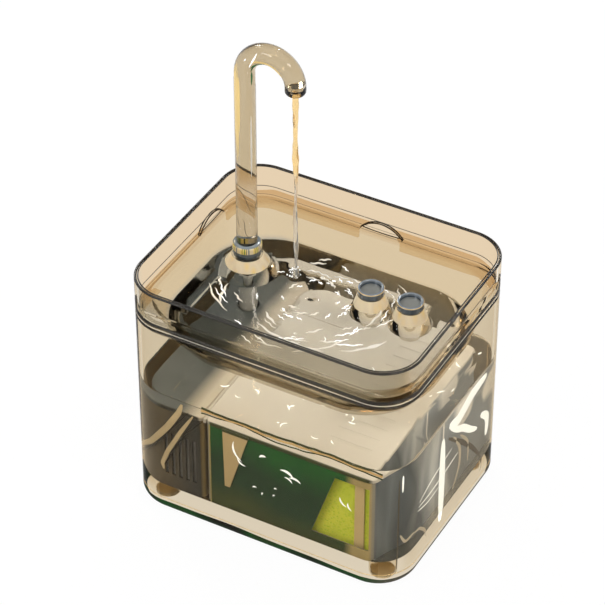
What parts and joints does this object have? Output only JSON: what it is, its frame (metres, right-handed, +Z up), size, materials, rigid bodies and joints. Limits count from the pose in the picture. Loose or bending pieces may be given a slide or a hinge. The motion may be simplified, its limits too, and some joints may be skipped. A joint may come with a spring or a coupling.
{
  "type": "pet water fountain",
  "caption": "Clear pet water fountain: a rounded tank holds a pump and filter, and a swan-neck faucet pours water into a lift-off drinking tray with capped overflow posts.",
  "frame": {"origin": "under the middle of the tank, on the surface that its feet stand on", "axes": "+X right along the broad front, +Y towards the back, +Z up"},
  "size_m": [0.19, 0.15, 0.2923],
  "materials": {
    "clear_plastic": "clear, polished",
    "trim_steel": "brushed",
    "seal_rubber": "matte",
    "silicone": "satin, cloudy",
    "pipe_plastic": "satin",
    "cap_plastic": "satin",
    "chamber_plastic": "fine matte",
    "chamber_lid_plastic": "fine matte",
    "housing_plastic": "satin",
    "lid_plastic": "fine matte",
    "frame_plastic": "satin",
    "lime_foam": "open-cell foam",
    "carbon": "grainy",
    "grey_foam": "open-cell foam",
    "pump_plastic": "satin",
    "dial_plastic": "satin",
    "gland_rubber": "matte",
    "core_steel": "stacked sheets",
    "copper_wire": "enamelled winding",
    "magnet_ferrite": "matte",
    "impeller_plastic": "satin",
    "shaft_steel": "polished",
    "bush_rubber": "matte"
  },
  "bodies": {
    "tank": {"tank": "clear_plastic", "foot_pads": "seal_rubber", "hose": "silicone", "pump_body": "pump_plastic", "pump_volute": "pump_plastic", "pump_end_cap": "pump_plastic", "cord_gland": "gland_rubber", "stator_core": "core_steel", "stator_coil": "copper_wire", "rotor_shaft": "shaft_steel", "shaft_bushes": "bush_rubber", "suction_cups": "seal_rubber", "pump_chamber": "chamber_plastic", "prefilter_foam": "grey_foam", "filter_housing": "housing_plastic", "carbon_block": "carbon"},
    "tray": {"tray": "clear_plastic", "collar_ring": "trim_steel", "tail_gasket": "seal_rubber", "tail_pipe": "pipe_plastic"},
    "faucet_collar": {"faucet_collar": "clear_plastic"},
    "faucet": {"faucet": "clear_plastic", "faucet_nozzle": "clear_plastic", "stem_o_rings": "seal_rubber"},
    "overflow_cap_left": {"overflow_cap_left": "cap_plastic"},
    "overflow_cap_right": {"overflow_cap_right": "cap_plastic"},
    "rotor": {"impeller": "impeller_plastic", "rotor_magnet": "magnet_ferrite"},
    "intake_cover": {"intake_cover": "pump_plastic"},
    "flow_regulator": {"flow_regulator": "dial_plastic"},
    "chamber_lid": {"chamber_lid": "chamber_lid_plastic"},
    "filter_lid": {"filter_lid": "lid_plastic", "cartridge_frame": "frame_plastic", "cartridge_foam": "lime_foam"}
  },
  "joints": [
    {"name": "tray_lift", "type": "slide", "parent": "tank", "child": "tray", "axis": [0, 0, 1], "range_m": [0, 0.08]},
    {"name": "faucet_swivel", "type": "hinge", "parent": "tray", "child": "faucet_collar", "pos_m": [-0.067, 0.0304, 0.133], "axis": [0, 0, 1], "range_deg": [-115, 55]},
    {"name": "faucet_lift", "type": "slide", "parent": "faucet_collar", "child": "faucet", "axis": [0, 0, 1], "range_m": [0, 0.03]},
    {"name": "overflow_cap_left_lift", "type": "slide", "parent": "tray", "child": "overflow_cap_left", "axis": [0, 0, 1], "range_m": [0, 0.015]},
    {"name": "overflow_cap_right_lift", "type": "slide", "parent": "tray", "child": "overflow_cap_right", "axis": [0, 0, 1], "range_m": [0, 0.015]},
    {"name": "rotor_spin", "type": "hinge", "parent": "tank", "child": "rotor", "pos_m": [-0.067, 0.038, 0.0442], "axis": [0, 1, 0], "continuous": true},
    {"name": "intake_cover_slide", "type": "slide", "parent": "tank", "child": "intake_cover", "axis": [0, -1, 0], "range_m": [0, 0.01]},
    {"name": "regulator_turn", "type": "hinge", "parent": "intake_cover", "child": "flow_regulator", "pos_m": [-0.067, 0.0123, 0.0442], "axis": [0, 1, 0], "range_deg": [0, 45]},
    {"name": "chamber_lid_lift", "type": "slide", "parent": "tank", "child": "chamber_lid", "axis": [0, 0, 1], "range_m": [0, 0.018]},
    {"name": "filter_lid_lift", "type": "slide", "parent": "tank", "child": "filter_lid", "axis": [0, 0, 1], "range_m": [0, 0.022]}
  ]
}
